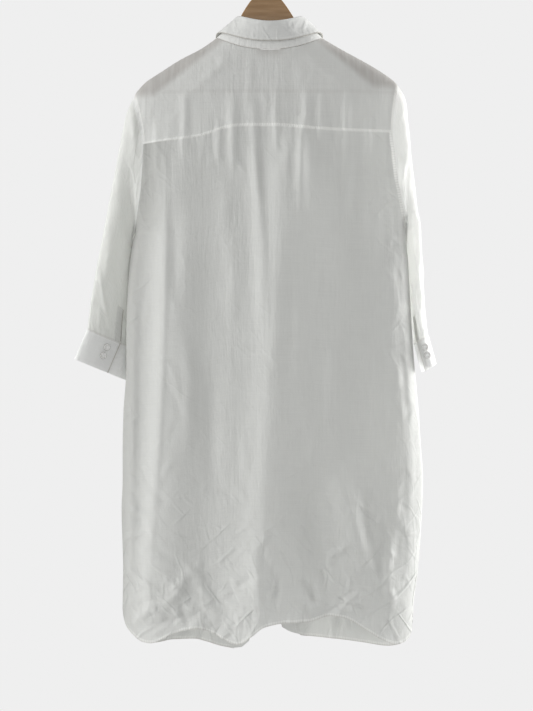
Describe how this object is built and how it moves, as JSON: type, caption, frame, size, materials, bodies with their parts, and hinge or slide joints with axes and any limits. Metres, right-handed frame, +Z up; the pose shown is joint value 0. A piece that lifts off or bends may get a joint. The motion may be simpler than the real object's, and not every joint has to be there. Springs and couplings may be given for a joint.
{
  "type": "linen shirt dress on a wooden hanger",
  "caption": "Off-white linen shirt dress with back yoke, turned-down collar, cuffed sleeves and curved hem, hanging on a wooden hanger.",
  "frame": {"origin": "inner top of the hanger's hook, where the hook sits on a rail", "axes": "+X towards the wearer's right, +Y out of the front of the dress, +Z up"},
  "size_m": [0.6168, 0.1415, 1.1926],
  "materials": {
    "linen": "matt plain-weave linen, thin enough to let light through",
    "pearl": "glossy pale shell",
    "wood": "brown stained, satin",
    "steel": "polished wire"
  },
  "bodies": {
    "root": {"yoke": "linen", "back": "linen", "front_left": "linen", "front_right": "linen", "placket_left": "linen", "placket_right": "linen", "collar_stand": "linen", "collar": "linen", "sleeve_left": "linen", "sleeve_right": "linen", "sleeve_placket_left": "linen", "sleeve_placket_right": "linen", "cuff_left": "linen", "cuff_right": "linen", "cuff_button_left_1": "pearl", "cuff_button_left_2": "pearl", "cuff_button_right_1": "pearl", "cuff_button_right_2": "pearl", "front_button_01": "pearl", "front_button_02": "pearl", "front_button_03": "pearl", "front_button_04": "pearl", "front_button_05": "pearl", "front_button_06": "pearl", "front_button_07": "pearl", "front_button_08": "pearl", "front_button_09": "pearl", "front_button_10": "pearl", "hanger_body": "wood", "hanger_bar": "wood", "hanger_hook": "steel"}
  },
  "joints": []
}
